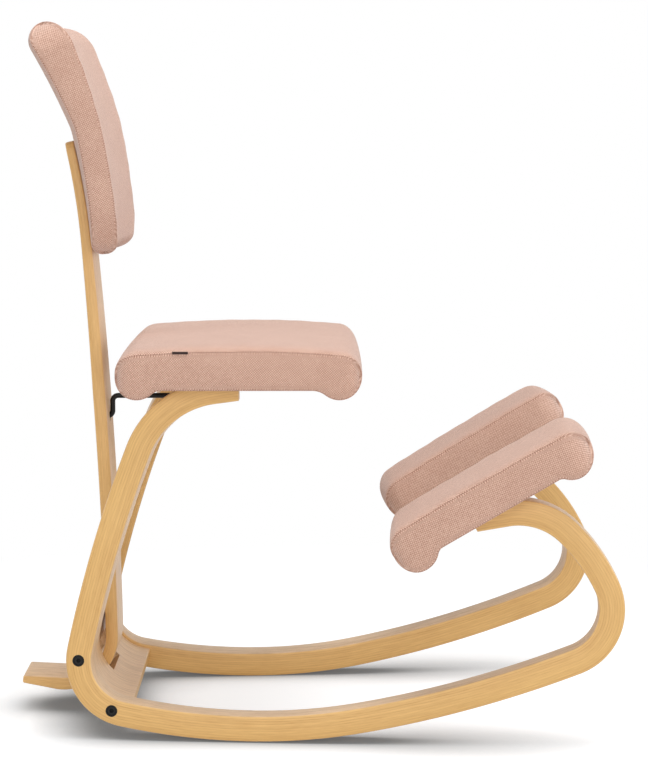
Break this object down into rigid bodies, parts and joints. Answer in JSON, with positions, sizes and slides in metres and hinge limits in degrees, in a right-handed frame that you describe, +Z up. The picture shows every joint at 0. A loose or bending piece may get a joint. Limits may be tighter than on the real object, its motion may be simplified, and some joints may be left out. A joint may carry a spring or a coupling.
{
  "type": "kneeling chair",
  "caption": "Rocking kneeling chair with bent laminated wood runners, padded seat, sloping knee cushions and a curved back cushion on a wooden post.",
  "frame": {"origin": "on the floor, at the middle of the chair's overall length and width", "axes": "+X forward, the way the sitter faces; +Y to the sitter's left; +Z up"},
  "size_m": [0.7974, 0.534, 0.9275],
  "materials": {
    "runner_wood": "satin",
    "veneer_wood": "satin",
    "board_ply": "matte",
    "cushion_cloth": "matte",
    "foam": "matte",
    "black_steel": "satin",
    "zinc_steel": "satin",
    "black_plastic": "matte",
    "tag_cloth": "matte"
  },
  "bodies": {
    "root": {"runner_left": "runner_wood", "runner_right": "runner_wood", "cross_panel": "veneer_wood", "panel_screws": "black_steel", "panel_cups": "black_steel", "panel_inserts": "zinc_steel", "back_post": "veneer_wood", "rod_sleeve": "zinc_steel", "support_rod": "black_steel", "rod_block": "black_plastic", "rod_block_screws": "zinc_steel", "seat_board": "board_ply", "seat_foam": "foam", "seat_cover": "cushion_cloth", "seat_bolts": "black_steel", "seat_washers": "zinc_steel", "seat_tee_nuts": "zinc_steel", "seam_tag": "tag_cloth", "knee_board_left": "board_ply", "knee_foam_left": "foam", "knee_cover_left": "cushion_cloth", "knee_board_right": "board_ply", "knee_foam_right": "foam", "knee_cover_right": "cushion_cloth", "knee_bolts": "black_steel", "knee_washers": "zinc_steel", "knee_tee_nuts": "zinc_steel", "back_board": "board_ply", "back_foam": "foam", "back_cover": "cushion_cloth", "back_bolts": "black_steel", "back_washers": "zinc_steel", "back_tee_nuts": "zinc_steel"}
  },
  "joints": []
}
